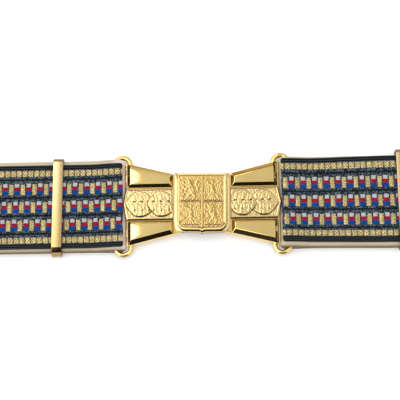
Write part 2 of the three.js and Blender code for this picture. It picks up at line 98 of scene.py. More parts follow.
RING_X, RING_STRAIGHT, RING_RADIUS, RING_WIRE = 42.1, 22.6, 4.0, 1.3

# The shield, its field and the side panels
SHIELD_HALF, SHIELD_TOP, SHIELD_WAIST, SHIELD_CORNER = 15.0, 16.2, -10.4, 9.4
SHIELD_FOOT, SHIELD_CUSP = -15.9, -16.6
SHIELD_BOTTOM, SHIELD_TURN, SHIELD_DROP = 7.3, math.radians(-1.1), -0.35
LEFT_NARROWER, RIGHT_NARROWER = 0.4, 0.7
FIELD_LEFT, FIELD_RIGHT, FIELD_TOP, FIELD_BOTTOM, FIELD_FLOOR = -11.8, 11.2, 14.7, -12.9, 10.2
DIVIDE, FIELD_DULL = 0.8, 0.4
PANEL_INNER, PANEL_SHOULDER, PANEL_TIP = 15.5, 40.2, 42.2
PANEL_HALF, PANEL_BOTTOM, PANEL_TOP, PANEL_DULL = 8.7, 7.3, 8.1, 0.33

SIDE_NAME = {-1: "left", 1: "right"}


# Small mesh helpers

def smoothstep(low, high, value):
    t = np.clip((value - low) / (high - low), 0, 1)
    return t * t * (3 - 2 * t)


def hash_noise(x, y, cell, seed=0):
    """Smooth value noise from 0 to 1, the same on every run."""
    gx, gy = np.floor(x / cell), np.floor(y / cell)
    fx, fy = smoothstep(0, 1, x / cell - gx), smoothstep(0, 1, y / cell - gy)

    def corner(i, j):
        value = np.sin((gx + i) * 127.1 + (gy + j) * 311.7 + seed * 74.7) * 43758.5453
        return value - np.floor(value)

    low = corner(0, 0) * (1 - fx) + corner(1, 0) * fx
    high = corner(0, 1) * (1 - fx) + corner(1, 1) * fx
    return low * (1 - fy) + high * fy


def signed_volume(points, quads):
    a, b, c, d = (points[quads[:, i]] for i in range(4))
    return float(np.einsum("ij,ij->", a, np.cross(b, c)) + np.einsum("ij,ij->", a, np.cross(c, d)))


def linked(name, data):
    """A new object, put in the scene."""
    thing = bpy.data.objects.new(name, data)
    bpy.context.scene.collection.objects.link(thing)
    return thing


def set_material(piece, material):
    piece.data.materials.clear()
    piece.data.materials.append(material)


def mesh_object(name, points, quads, caps=(), smooth=True):
    """A closed mesh from points in millimetres, quads and larger end faces."""
    quads = np.asarray(quads, dtype=np.int64)
    caps = [np.asarray(cap).tolist() for cap in caps]
    if signed_volume(points, quads) < 0:
        quads = quads[:, ::-1]
        caps = [cap[::-1] for cap in caps]
    mesh = bpy.data.meshes.new(name)
    mesh.from_pydata((points * MM).tolist(), [], quads.tolist() + caps)
    mesh.validate()
    mesh.shade_smooth() if smooth else mesh.shade_flat()
    return linked(name, mesh)


def grid_quads(index):
    return np.stack([index[:-1, :-1], index[:-1, 1:], index[1:, 1:], index[1:, :-1]], -1).reshape(-1, 4)


def sweep(name, rows, closed=False, smooth=True):
    """A tube through rows of points: rows[i, k] is point k of section i."""
    index = np.arange(rows.size // 3).reshape(rows.shape[:2])
    caps = [] if closed else [index[0, ::-1], index[-1]]
    index = np.pad(index, ((0, int(closed)), (0, 1)), "wrap")
    return mesh_object(name, rows.reshape(-1, 3), grid_quads(index), caps, smooth)


def set_marks(piece, name, values, kind="FLOAT", key="value"):
    """One value or vector for each vertex, which a material reads."""
    layer = piece.data.attributes.new(name, kind, "POINT")
    layer.data.foreach_set(key, np.ascontiguousarray(values, dtype=np.float32).ravel())


def finish_piece(piece, node, body, material):
    set_material(piece, material)
    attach(piece, body)
    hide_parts(node)


# The strap's route

def plan_tables():
    steps = 1500
    t = np.linspace(0, math.pi / 2, steps)
    line_x = -np.linspace(0, STRAIGHT, steps)[:-1]
    side_x, side_y = -STRAIGHT - (REACH - STRAIGHT) * np.sin(t), WIDEST * (1 - np.cos(t))
    back_x, back_y = -REACH * np.cos(t), WIDEST + (BACK - WIDEST) * np.sin(t)
    x = np.concatenate([line_x, side_x, back_x[1:]])
    y = np.concatenate([np.zeros_like(line_x), side_y, back_y[1:]])
    s = np.concatenate([[0], np.cumsum(np.hypot(np.diff(x), np.diff(y)))])
    return s, x, y, np.gradient(x, s), np.gradient(y, s)


PLAN = plan_tables()
HALF_LENGTH = float(PLAN[0][-1])


def lean_at(d):
    return math.pi / 2 * smoothstep(LEAN_START, LEAN_END, d)


def height_at(d):
    angle = lean_at(d)
    return DATUM * np.cos(angle) + STRAP_WIDTH / 2 * np.sin(angle) + LIFT * np.sin(2 * angle) ** 2


def unit(vectors):
    return vectors / np.linalg.norm(vectors, axis=-1, keepdims=True)


def strap_points(side, d, n, w):
    """Points at distance d along a half, n out of the strap's datum and w towards its upper edge."""
    s, x, y, hx, hy = PLAN
    heading_x, heading_y = np.interp(d, s, hx), np.interp(d, s, hy)
    slope = height_at(d + 0.5) - height_at(d - 0.5)
    along = unit(np.stack([heading_x, heading_y, slope], -1))
    angle = lean_at(d)
    face = np.stack([-heading_y * np.sin(angle), heading_x * np.sin(angle), np.cos(angle)], -1)
    face = unit(face - along * np.sum(face * along, -1, keepdims=True))
    top = np.cross(along, face)
    origin = np.stack([np.interp(d, s, x), np.interp(d, s, y), height_at(d)], -1)
    points = origin + face * n[..., None] + top * w[..., None]
    points[..., 0] *= -side
    return points


def pocket_at(d):
    return FOLD_INNER + (SEAT / 2 - FOLD_INNER) * smoothstep(FOLD_X, SETTLED, d)


def middle_at(d):
    return (FOLD_HEIGHT - DATUM) * (1 - smoothstep(FOLD_X, SETTLED, d))


def half_width_at(d, half, end, corner):
    """Half a strip's width, with its corners rounded at the end."""
    u = np.clip((d - end) / corner, 0, 1)
    return half - corner * (1 - np.sqrt(1 - (1 - u) ** 2))


def resampled(profile, spacing):
    """Evenly spaced stations on a profile of (d, n), with their normals and lengths along it."""
    steps = np.hypot(*np.diff(profile, axis=0).T)
    length = np.concatenate([[0], np.cumsum(steps)])
    at = [0.0]
    while at[-1] < length[-1]:
        at.append(at[-1] + spacing(at[-1]))
    at = np.array(at) * (length[-1] / at[-1])
    d, n = np.interp(at, length, profile[:, 0]), np.interp(at, length, profile[:, 1])
    normal = unit(np.stack([-np.gradient(n, at), np.gradient(d, at)], -1))
    return at, d, n, normal


def strip_piece(name, marked, profile, spacing, ends, section, place, mark):
    """A strip of the strap, from its left end round the back to its right end.

    section(run, d, half) gives arrays of w and of offsets along the normal, one row for each station,
    place(side, d, w) gives where across the strap each point goes, and mark(run, w) its pattern place,
    which is noted on the mesh with the offset.
    """
    at, d, n, normal = resampled(profile, spacing)
    half = half_width_at(d, *ends)
    parts, marks = [], []
    for side in (-1, 1):
        run = at if side < 0 else 2 * at[-1] - at
        w, offset = section(run, d, half)
        points = strap_points(
            side, d[:, None] + normal[:, :1] * offset, n[:, None] + normal[:, 1:] * offset,
            place(side, d[:, None], w))
        noted = np.stack([*mark(run[:, None], w), offset], -1)
        order = slice(None) if side < 0 else slice(-2, None, -1)
        parts.append(points[order])
        marks.append(noted[order])
    piece = sweep(name, np.concatenate(parts))
    set_marks(piece, marked, np.concatenate(marks), "FLOAT_VECTOR", "vector")
    return piece


def layer_profile(out, angles, tail):
    """A layer's route as (d, n), so far out from the fold's inside: its tail, round the ring, and on."""
    radius, angle = FOLD_INNER + out, np.radians(angles)
    main = np.append(np.arange(FOLD_X + ROUTE_STEP, HALF_LENGTH, ROUTE_STEP), HALF_LENGTH)
    d = np.concatenate([tail, FOLD_X - radius * np.cos(angle), main])
    n = np.concatenate([
        middle_at(tail) - pocket_at(tail) - out,
        middle_at(FOLD_X) + radius * np.sin(angle),
        middle_at(main) + pocket_at(main) + out,
    ])
    return np.stack([d, n], -1)


# The leather lining

def rounded_section(half, thickness, corner, across):
    """A flat strip's section with round edges: arrays of w and offset, a row for each half width."""
    arc = np.linspace(math.pi / 2, 0, 4)
    edge_w = half[:, None] - corner + corner * np.cos(arc)
    edge_n = np.broadcast_to(thickness / 2 - corner + corner * np.sin(arc), edge_w.shape)
    inner = np.linspace(-1, 1, across + 2)[1:-1]
    flat_w = (half[:, None] - corner) * inner
    flat_n = np.full_like(flat_w, thickness / 2)
    upper_w = np.concatenate([-edge_w[:, ::-1], flat_w, edge_w], 1)
    upper_n = np.concatenate([edge_n[:, ::-1], flat_n, edge_n], 1)
    return np.concatenate([upper_w, upper_w[:, ::-1]], 1), np.concatenate([upper_n, -upper_n[:, ::-1]], 1)


def make_lining(material):
    end = FOLD_X - FOLD_INNER - LINING
    tail_length = TAIL - FOLD_X

    def spacing(at):
        return 0.5 if abs(at - tail_length) < 14 else 2.0

    def section(run, d, half):
        w, n = rounded_section(half, LINING, 0.5, 7)
        ripple = 0.12 * (hash_noise(run, 0 * run, 14.0, 3) - 0.5)
        return w + np.sign(w) * ripple[:, None], n

    def place(side, d, w):
        away = smoothstep(50, 105, d) if side > 0 else smoothstep(LEAN_START, LEAN_END, d)
        return w + LINING_IN[side] * (1 - away) * np.clip(-w / (STRAP_WIDTH / 2), 0, 1)

    def mark(run, w):
        return run + 0 * w, w

    profile = layer_profile(LINING / 2, np.arange(-90, 91, 5), np.arange(TAIL, FOLD_X, -ROUTE_STEP))
    ends = (STRAP_WIDTH / 2, end, FOLD_CORNER)
    piece = strip_piece("leather_lining", "strap", profile, spacing, ends, section, place, mark)
    finish_piece(piece, "lining_strap", "belt", material)


# The brocade band

def wrapped(value, period):
    return (value + period / 2) % period - period / 2


def dome(value, half):
    return np.sqrt(np.clip(1 - (value / half) ** 2, 0, 1))


def ripple(value, period):
    return np.cos(2 * math.pi * value / period)


def weave_mark(run, w):
    """Where the pattern stands along and across.

    It is stretched at the left end, with each row a step from the next. On the right half the rows sit
    low and the lower edge high.
    """
    right = smoothstep(120, 900, run)
    stretch = STRETCH * np.minimum(run, STRETCHED) + STRETCH_START
    row = ROW_PITCH * np.clip(np.round((w - ROW_MIDDLE) / ROW_PITCH), -1, 1)
    along = run + WEAVE_START + stretch * (1 - right) - BACK_SHIFT * right
    rows = ROWS_DROP * (1 - smoothstep(14.5, 17, np.abs(w)))
    lower_edge = EDGE_RISE * smoothstep(-15.3, -17, w)
    return along + (SLANT + SLANT_CHANGE * right) * row, w + right * (rows - lower_edge)


def weave_height(u, w):
    """Height of the woven face over its ground, in millimetres."""
    block = wrapped(u - BLOCK_PHASE, WEAVE_PERIOD)
    row = wrapped(w - ROW_MIDDLE, ROW_PITCH)
    blocks = BLOCK_RISE * np.sqrt(dome(block, 1.45)) * np.sqrt(dome(row + 0.2, 3.4))
    blocks = blocks * (1 - 0.18 * (np.abs(row + 0.85) < 0.2))
    from_gold = wrapped(block - WEAVE_PERIOD / 2, WEAVE_PERIOD)
    gold = GOLD_RISE * np.sqrt(dome(from_gold, 1.15)) * np.sqrt(dome(row + 0.5, 3.1))
    gold = gold * (0.78 + 0.22 * ripple(row + 0.3 * from_gold, RIB))
    rows = np.where(np.abs(w - ROW_MIDDLE) < ROWS_EDGE, np.maximum(blocks, gold), 0)
    from_row = np.where(w > 0, w - TWIST_UPPER, w - TWIST_LOWER)
    lobe = wrapped(u, WEAVE_PERIOD / 2)
    plait = np.maximum(ripple(u + from_row, PLAIT), ripple(u - from_row, PLAIT))
    twist = TWIST_RISE * np.sqrt(dome(from_row, TWIST_HALF) * dome(lobe, LOBE_HALF + 0.15))
    twist = twist * (0.7 + 0.3 * plait)
    edge = np.abs(w) - SELVEDGE
    cord = CORD_RISE * np.abs(np.sin(math.pi * edge / CORD)) * (0.85 + 0.15 * ripple(u + edge, 1.8))
    ground = WEAVE_GROUND * ripple(u + w, 1.3) * ripple(u - w, 1.3) + 0.06 * hash_noise(u, w, 0.9, 5)
    return np.maximum.reduce([rows, twist, np.where(edge > 0, cord, 0)]) + ground


def make_brocade(material):
    out = LINING + SEAT + BROCADE / 2
    end = FOLD_X - (FOLD_INNER + out) * math.sin(math.radians(BROCADE_TURN)) - 0.2
    columns, relief, edge_drop = 80, 0.4, 0.45

    def spacing(at):
        return 0.5 if at < TAIL - FOLD_X else 1.0

    def section(run, d, half):
        w = half[:, None] * np.linspace(-1, 1, columns + 1)
        from_edge = half[:, None] - np.abs(w)
        top = BROCADE / 2 - relief + weave_height(*weave_mark(run[:, None], w))
        top = top - edge_drop * (1 - smoothstep(0, 0.7, from_edge))
        bottom_w = np.stack([half, half, -half, -half], -1) * np.array([1, 0.99, 0.99, 1])
        bottom_n = np.broadcast_to(np.array([-0.35, -0.6, -0.6, -0.35]), bottom_w.shape)
        return np.concatenate([w, bottom_w], 1), np.concatenate([top, bottom_n], 1)

    def place(side, d, w):
        fade = (1 - smoothstep(LEAN_END, HALF_LENGTH, d)) * (side > 0)
        wider = w * (1 + (GROWTH + GROWTH_MORE * smoothstep(45, 105, d)) * fade)
        return wider + (RIGHT_SHIFT + BAND_IN * np.clip(-w / 23, 0, 1) ** 2) * fade

    profile = layer_profile(out, np.linspace(90 - BROCADE_TURN, 90, 5), np.zeros(0))
    ends = (BROCADE_WIDTH / 2, end, 1.4)
    piece = strip_piece("brocade_weave", "weave", profile, spacing, ends, section, place, weave_mark)
    finish_piece(piece, "brocade_band", "belt", material)


# The rings and keepers

def circle(radius, sides):
    angle = np.arange(sides) * 2 * math.pi / sides
    return np.stack([radius * np.cos(angle), radius * np.sin(angle)], -1)


def make_ring(side, material):
    arc = np.linspace(0, math.pi, 25)
    angle = np.concatenate([arc, arc + math.pi])
    still = np.zeros_like(angle)
    shift = np.repeat([RING_STRAIGHT, -RING_STRAIGHT], len(arc))
    out = np.stack([np.cos(angle), np.sin(angle), still], -1)
    centre = out * RING_RADIUS + np.stack([still + RING_X, shift, still + FOLD_HEIGHT], -1)
    section = circle(RING_WIRE, 16)
    rows = centre[:, None] + out[:, None] * section[:, :1] + np.array([0, 0, 1.0]) * section[:, 1:]
    rows[..., 0] *= side
    name = SIDE_NAME[side]
    piece = sweep(f"wire_ring_{name}", rows, closed=True)
    # Painted shade on the wire, strongest over its lower half and fading out towards its top.
    underside_shade = 0.7 * smoothstep(0.75, 0.1, section[:, 1] / RING_WIRE)
    set_marks(piece, "dull_and_shade", np.broadcast_to(underside_shade, rows.shape[:2]))
    finish_piece(piece, f"ring_{name}", "belt", material)


def keeper_rows(low, high, across, inset):
    """A keeper's outline in Y and Z, set in by so much: round above, with two bevels below."""
    outline = np.array([
        (low[1], low[2]), (high[1], low[2]), (high[1], high[2]), (low[1] + KEEPER_BEVEL[0], high[2]),
        (low[1] + KEEPER_FOOT[0], high[2] - KEEPER_BEVEL[1]), (low[1], high[2] - KEEPER_FOOT[1])])
    radii = np.maximum(np.array(KEEPER_RADII) - inset, 0.15)
    flat = inset_row(outline, [inset] * 6, radii, 0, steps=8)
    return np.column_stack([np.full(len(flat), across), flat[:, :2]])


def make_keeper(name, material):
    low, high = (np.array(corner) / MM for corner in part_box(name))
    middle, half, skew = (low[0] + high[0]) / 2, (high[0] - low[0]) / 2, KEEPER_SKEW[name]
    if name == "keeper_right":
        high[1] += RIGHT_TALLER
        middle += RIGHT_FURTHER
    arc = np.radians(np.linspace(0, 90, 5))
    section = [
        (half - KEEPER_EDGE * (1 - math.sin(t)), KEEPER_EDGE * (1 - math.cos(t))) for t in arc]
    section += [(across, KEEPER_PLATE - inset) for across, inset in section[::-1]]
    section += [(-across, inset) for across, inset in section[::-1]]
    rows = np.stack([keeper_rows(low, high, middle + across, inset) for across, inset in section])
    rows[..., 0] += skew * rows[..., 1]
    piece = sweep(f"{name}_band", rows, closed=True)
    dull_and_shade = keeper_shade(rows[..., 0] - middle - skew * rows[..., 1], rows, half, low, high)
    set_marks(piece, "dull_and_shade", dull_and_shade)
    # Painted shade: a deeper colour towards the keeper's bottom.
    set_marks(piece, "deep", smoothstep(high[1], low[1], rows[..., 1]))
    finish_piece(piece, name, name, material)


def keeper_shade(across, rows, half, low, high):
    """Painted shade on a keeper: over its upper bend, on its lower bevel and foot, and on its edge towards
    the buckle.
    """
    y, z = rows[..., 1], rows[..., 2]
    bend = 0.42 * smoothstep(high[1] - KEEPER_BEND + 0.2, high[1] - KEEPER_BEND + 1, y)
    under = (y < low[1] + KEEPER_BEVEL[0] - 0.1) & (z < high[2] - 0.08)
    bevel = under & (z > high[2] - KEEPER_BEVEL[1] - 0.1)
    foot = 0.3 * (under & ~bevel)
    buckle_side = 1 if low[0] < 0 else -1
    edge = 0.85 * (across * buckle_side > half - 0.2)
    return np.maximum.reduce([bend, bevel, foot, edge])


# Relief

def chained(*chains):
    """Strokes between the points of each chain; a point is x, y and the stroke's radius there."""
    return [(*a, *b) for chain in chains for a, b in zip(chain, chain[1:])]


# Body, head, forelegs, hind legs and tail
LION = chained(
    ((0.9, -1.6, 1.25), (-0.4, 2.0, 1.3)), ((-0.4, 2.0, 1.45), (-0.9, 3.6, 1.2)),
    ((-0.9, 4.3, 0.95), (-2.2, 4.3, 0.6)), ((-1.4, 3.6, 0.5), (-2.4, 3.3, 0.25)),
    ((-0.6, 2.4, 0.7), (-2.6, 2.5, 0.42), (-3.9, 3.4, 0.5)),
    ((-0.5, 1.4, 0.65), (-2.5, 0.5, 0.42), (-3.9, 1.0, 0.5)),
    ((0.6, -1.6, 0.95), (-1.2, -3.0, 0.55), (-1.5, -4.4, 0.4), (-2.8, -4.7, 0.42)),
    ((1.1, -1.9, 1.05), (1.7, -3.5, 0.6), (1.0, -5.0, 0.4), (-0.3, -5.5, 0.42)),
    ((1.8, -1.4, 0.4), (3.2, -0.7, 0.3), (3.1, 1.1, 0.3), (2.2, 2.3, 0.3), (3.1, 3.6, 0.5), (3.9, 4.9, 0.15)),
    ((3.1, 3.6, 0.5), (2.5, 5.1, 0.15)),
)
# Body and head, wing and its feathers, leg and claws, and tail
EAGLE_HALF = chained(
    ((0, 2.2, 0.85), (0, -1.2, 1.15)), ((0, 3.0, 0.55), (0, 4.2, 0.6)),
    ((0.6, 2.0, 0.6), (2.4, 3.6, 0.55), (3.7, 4.6, 0.45)),
    ((3.9, 4.5, 0.38), (4.5, 0.9, 0.22)), ((3.1, 4.0, 0.38), (3.8, -0.4, 0.22)),
    ((2.4, 3.3, 0.38), (3.0, -1.2, 0.22)), ((1.6, 2.6, 0.38), (2.1, -1.3, 0.22)),
    ((0.6, -1.4, 0.5), (1.8, -2.8, 0.3), (2.5, -3.9, 0.24), (3.3, -4.3, 0.12)),
    ((2.5, -3.9, 0.24), (2.0, -4.8, 0.12)),
    ((0, -2.0, 0.55), (0, -5.4, 0.32)), ((0.1, -2.2, 0.45), (1.2, -5.1, 0.28)),
)
EAGLE = EAGLE_HALF + [(-x0, y0, r0, -x1, y1, r1) for x0, y0, r0, x1, y1, r1 in EAGLE_HALF]
EAGLE += chained(((-0.3, 4.3, 0.35), (-1.4, 3.9, 0.12)))

# Curls on each side of a figure, and the tufts under them: x, y and radius, and x
CURLS, TUFTS = ((4.2, 5.3, 0.95), (4.6, 2.3, 0.7), (4.5, -2.4, 0.8), (4.0, -5.3, 0.95)), (1.2, 3.1)
CHEVRONS = (-3.4, -1.2, 1.0, 3.2)
FIGURE_RISE, CURL_RISE, STIPPLE, UPRIGHT_RISE, BAR_RISE = 0.13, 0.15, 0.09, 0.42, 0.22


def curl(cx, cy, radius, hand, steps=7):
    """Strokes along an arc that winds in as it goes."""
    angle = np.radians(np.linspace(0, 330, steps + 1) + 90 * hand)
    reach = radius * np.linspace(1, 0.45, steps + 1)
    x, y = cx + reach * np.cos(angle), cy + reach * np.sin(angle)
    return [(x[i], y[i], 0.24, x[i + 1], y[i + 1], 0.216) for i in range(steps)]


def raised(x, y, strokes, cx=0.0, cy=0.0, scale=1.0):
    """Domed relief from strokes, in millimetres, before it is scaled to its height."""
    height = np.zeros_like(x)
    for x0, y0, r0, x1, y1, r1 in strokes:
        px, py = (x - cx) / scale - x0, (y - cy) / scale - y0
        vx, vy = x1 - x0, y1 - y0
        t = np.clip((px * vx + py * vy) / (vx * vx + vy * vy + 1e-9), 0, 1)
        radius = r0 + (r1 - r0) * t
        distance = np.hypot(px - t * vx, py - t * vy)
        swell = np.sqrt(np.clip(1 - (distance / radius) ** 2, 0, 1))
        height = np.maximum(height, swell * (0.45 + 0.55 * np.clip(radius / 1.2, 0, 1)))
    return height


def quarter_relief(x, y, strokes, cx, cy, seed):
    """A beast or bird with tooling on it, curls round it and a stippled ground."""
    figure = raised(x, y, strokes, cx, cy, 1.08)
    tooling = 0.6 + 0.55 * hash_noise(x, y, 0.75, seed + 20)
    curls = []
    for sx in (-1, 1):
        for place_x, place_y, size in CURLS:
            curls += curl(place_x * sx, place_y, size, sx)
        for foot_x in TUFTS:
            curls.append((foot_x * sx, -5.6, 0.5, foot_x * sx + 0.5, -6.3, 0.62))
    around = raised(x, y, curls, cx, cy) * (figure < 0.05)
    return FIGURE_RISE * figure * tooling + CURL_RISE * around + STIPPLE * hash_noise(x, y, 0.7, seed)


def field_relief(x, y):
    """The field's four quarters with a row of chevrons under each figure, and the bars between them, with
    painted shade in the chevrons.
    """
    west, east = FIELD_LEFT / 2, FIELD_RIGHT / 2
    upper, lower = (FIELD_TOP + DIVIDE) / 2 - 0.6, (FIELD_BOTTOM + DIVIDE) / 2
    left, high = x < 0, y > DIVIDE
    height = np.zeros_like(x)
    quarters = (
        (left & high, LION, west, upper, 1), (~left & high, EAGLE, east, upper, 2),
        (left & ~high, EAGLE, west, lower, 3), (~left & ~high, LION, east, lower, 4),
    )
    chevrons = []
    for inside, strokes, cx, cy, seed in quarters:
        height = np.where(inside, quarter_relief(x, y, strokes, cx, cy, seed), height)
        for at in CHEVRONS:
            tip = (cx + at, cy - 6.1, 0.34)
            chevrons += chained(((cx + at - 0.8, cy - 5.5, 0.3), tip, (cx + at + 0.8, cy - 5.6, 0.26)))
    marks = raised(x, y, chevrons)
    upright = UPRIGHT_RISE * np.sqrt(dome(x, 0.5))
    level_bar = BAR_RISE * dome(y - DIVIDE, 0.35)
    height = np.maximum.reduce([height - 0.3 * marks, upright, level_bar])
    return height, np.clip(1.8 * marks, 0, 0.9) * (upright == 0)


# The shield

def shield_loop(half, top, waist, corner, foot, cusp, z):
    """A shield's outline: straight sides, round lower corners and a small point at the foot."""
    t = np.linspace(0, 1, 13)
    left_x = -(half * (1 - t) ** 2 + 2 * half * t * (1 - t) + corner * t ** 2)
    left_y = waist * (1 - t) ** 2 + 2 * foot * t * (1 - t) + foot * t ** 2
    foot_x = np.linspace(-corner, 0, 10)[1:]
    foot_y = foot - 0.1 * (1 + foot_x / corner) + (cusp - foot + 0.1) * np.clip(1 + foot_x / 1.6, 0, 1) ** 1.6
    side_y = np.linspace(top, waist, 8)[:-1]
    left = np.stack([
        np.concatenate([np.full(7, -half), left_x, foot_x]), np.concatenate([side_y, left_y, foot_y])], -1)
    right = left[-2::-1] * np.array([-1, 1])
    top_x = np.linspace(half, -half, 9)[1:-1]
    loop = np.concatenate([left, right, np.stack([top_x, np.full(7, top)], -1)])
    return np.concatenate([loop, np.full((len(loop), 1), z)], 1)


def turned(points):
    c, s = math.cos(SHIELD_TURN), math.sin(SHIELD_TURN)
    return points @ np.array([[c, s, 0], [-s, c, 0], [0, 0, 1]]) + np.array([0, SHIELD_DROP, 0])


def shield_row(side, top, foot, z):
    """One loop of the shield, set in by so much from its sides, its top and its foot."""
    row = shield_loop(
        SHIELD_HALF - side, SHIELD_TOP - top, SHIELD_WAIST + 0.2 * side, SHIELD_CORNER - 0.5 * side,
        SHIELD_FOOT + foot, SHIELD_CUSP + foot, z)
    row[:, 0] -= 0.05 * side
    narrower = np.where(row[:, 0] > 0, RIGHT_NARROWER, LEFT_NARROWER) / SHIELD_HALF
    row[:, 0] *= 1 - narrower * max(1 - side / 2.6, 0)
    return row


# The shield's loops from its back to inside its rim: how far in from the sides, the top and the foot,
# the height, and the painted shade all round, at the foot and inside the right-hand side
SHIELD_LOOPS = (
    (0, 0, 0, SHIELD_BOTTOM, 0.9, 0, 0), (0, 0, 0, 7.6, 0.9, 0, 0), (0, 0, 0, 9.55, 0.6, 0, 0),
    (0.02, 0.02, 0.02, 9.65, 0.3, 0, 0), (0.15, 0.12, 0.05, 9.76, 0, 0, 0), (0.3, 0.16, 0.06, 9.8, 0, 0, 0),
    (0.85, 0.2, 0.08, 9.85, 0, 0, 0), (0.95, 0.25, 0.1, 9.9, 0, 0, 0), (1.05, 0.3, 0.14, 9.98, 0, 0.2, 0),
    (2.2, 0.75, 0.6, 10.6, 0, 0.95, 0), (2.3, 0.85, 1.3, 10.7, 0, 0.95, 0),
    (2.36, 0.95, 1.55, 10.74, 0, 0.2, 0), (2.5, 1.1, 2.1, 10.74, 0, 0, 0),
    (2.6, 1.15, 2.2, 10.73, 0, 0.2, 0.2), (2.66, 1.2, 2.3, 10.7, 0, 0.8, 0.5),
    (2.7, 1.25, 2.5, 10.6, 0, 1, 0.5), (2.9, 1.3, 2.7, 10.2, 0, 1, 0.5), (3.6, 1.8, 3.4, 10.1, 0, 1, 0.5),
)


def make_shield(material):
    body = sweep("shield_body", turned(np.stack([shield_row(*row[:4]) for row in SHIELD_LOOPS])))
    outline = shield_row(0, 0, 0, 0)
    all_round, at_foot, inside_right = np.array(SHIELD_LOOPS).T[4:, :, None]
    foot, right = smoothstep(-9.5, -13.5, outline[:, 1]), outline[:, 0] > 14
    # Painted shade: a dark line round the shield's walls, a dark band at its foot and shade inside its
    # right-hand rim.
    set_marks(body, "dull_and_shade", np.maximum.reduce([all_round + 0 * foot, at_foot * foot, inside_right * right]))
    x, y = np.meshgrid(
        np.linspace(FIELD_LEFT, FIELD_RIGHT, 215), np.linspace(FIELD_BOTTOM - 0.7, FIELD_TOP, 264))
    rim = shield_row(2.6, 1.3, 2.7, 0)[7:-7, :2]
    lowest = np.interp(x, rim[:, 0], rim[:, 1])
    dish = 0.35 * (1 - smoothstep(0, 2.2, FIELD_TOP - y))
    height, marks = field_relief(x, y)
    z = FIELD_FLOOR + height * smoothstep(0, 1.6, FIELD_TOP - y) + dish
    z = np.where(y < lowest, FIELD_FLOOR - 0.4, z)
    # The field's duller tone, with painted shade in its hollows and chevrons.
    dull_and_shade = np.maximum(FIELD_DULL + 0.3 * hollow_shade(z), marks)
    relief = grid_piece("shield_relief", x, y, z, dull_and_shade, FIELD_FLOOR - 0.5, turned)
    set_marks(relief, "deep", np.full(len(relief.data.vertices), 0.9))
    finish_piece(joined([relief, body], material), "shield", "belt", material)


def hollow_shade(z, spread=3, depth=0.08):
    """Painted shade in the hollows of a height field: 1 where it lies well under its surroundings."""
    level = z
    for axis in (0, 1):
        level = np.mean([np.roll(level, shift, axis) for shift in range(-spread, spread + 1)], axis=0)
    return np.clip((level - z) / depth, 0, 1)


def grid_piece(name, x, y, z, dull_and_shade, bottom, turn=np.asarray):
    """A closed block whose top is a height field, with its marks of tone and painted shade, the walls in
    painted shade towards their foot.
    """
    top = np.stack([x, y, z], -1).reshape(-1, 3)
    index = np.arange(x.size).reshape(x.shape)
    border = np.concatenate([index[0, :], index[1:, -1], index[-1, -2::-1], index[-2:0:-1, 0]])
    foot = top[border].copy()
    foot[:, 2] = bottom
    below = np.arange(len(border)) + len(top)
    after = np.roll(np.arange(len(border)), -1)
    walls = np.stack([border[after], border, below, below[after]], -1)
    piece = mesh_object(
        name, turn(np.concatenate([top, foot])), np.concatenate([grid_quads(index), walls]), [below[::-1]])
    set_marks(piece, "dull_and_shade", np.concatenate([dull_and_shade.ravel(), np.ones(len(border))]))
    return piece


def joined(pieces, material):
    """Closed meshes of one part made one object; the first one gives its name."""
    bpy.ops.object.select_all(action="DESELECT")
    for piece in pieces:
        set_material(piece, material)
        piece.select_set(True)
    bpy.context.view_layer.objects.active = pieces[0]
    bpy.ops.object.join()
    return pieces[0]


# The wings

def inset_row(points, insets, radius, z, steps=4):
    """A convex outline with each edge set in and each corner rounded."""
    points = np.asarray(points, float)
    count, row = len(points), []
    radii = np.broadcast_to(radius, count)
    edges = unit(np.roll(points, -1, 0) - points)
    inward = np.stack([-edges[:, 1], edges[:, 0]], -1)
    for i in range(count):
        before, after = inward[i - 1], inward[i]
        offset = np.linalg.solve(np.stack([before, after]), [insets[i - 1], insets[i]])
        centre = points[i] + offset + (before + after) * radii[i] / (1 + before @ after)
        for t in np.linspace(0, 1, steps + 1):
            way = unit(-before * (1 - t) - after * t)
            row.append([*(centre + way * radii[i]), z])
    return np.array(row)


def crowned_rows(row, steps, rise):
    """Rows that shrink towards a row's middle and rise to a crown, round along X and straight across."""
    middle, reach = row.mean(0), np.ptp(row[:, 0]) / 2
    inner = middle + (row - middle) * np.array(steps)[:, None, None]
    inner[..., 2] = row[:, 2] + rise * (1 - np.clip((inner[..., 0] - middle[0]) / reach, -1, 1) ** 2)
    return list(inner)


def wing_half_at(x):
    return WING_OUTER_HALF - (WING_OUTER - x) * WING_SLOPE


def wing_base(lip):
    """A wing's plate with its skirt, and its lip over the strap's fold; x points away from the shield."""
    inner, outer = wing_half_at(WING_INNER), wing_half_at(WING_OUTER)
    points = [(WING_INNER, -inner), (WING_OUTER, -outer), (WING_OUTER, outer), (WING_INNER, inner)]
    steps = (
        (SKIRT, 0, PLATE_BOTTOM), (SKIRT, 0, SKIRT_BOTTOM), (0.05, 0, SKIRT_BOTTOM),
        (0, 0, SKIRT_BOTTOM + 0.05), (0, 0, LIP_BOTTOM - 0.1), (0, lip, LIP_BOTTOM),
        (0, lip, PLATE_TOP - 0.35), (0.03, lip, PLATE_TOP - 0.2), (0.12, lip, PLATE_TOP - 0.07),
        (0.26, lip, PLATE_TOP), (0.5, lip, PLATE_TOP),
    )
    return sweep("wing", np.stack([
        inset_row(points, [inset, inset - out, inset, inset], 0.5, z) for inset, out, z in steps]))


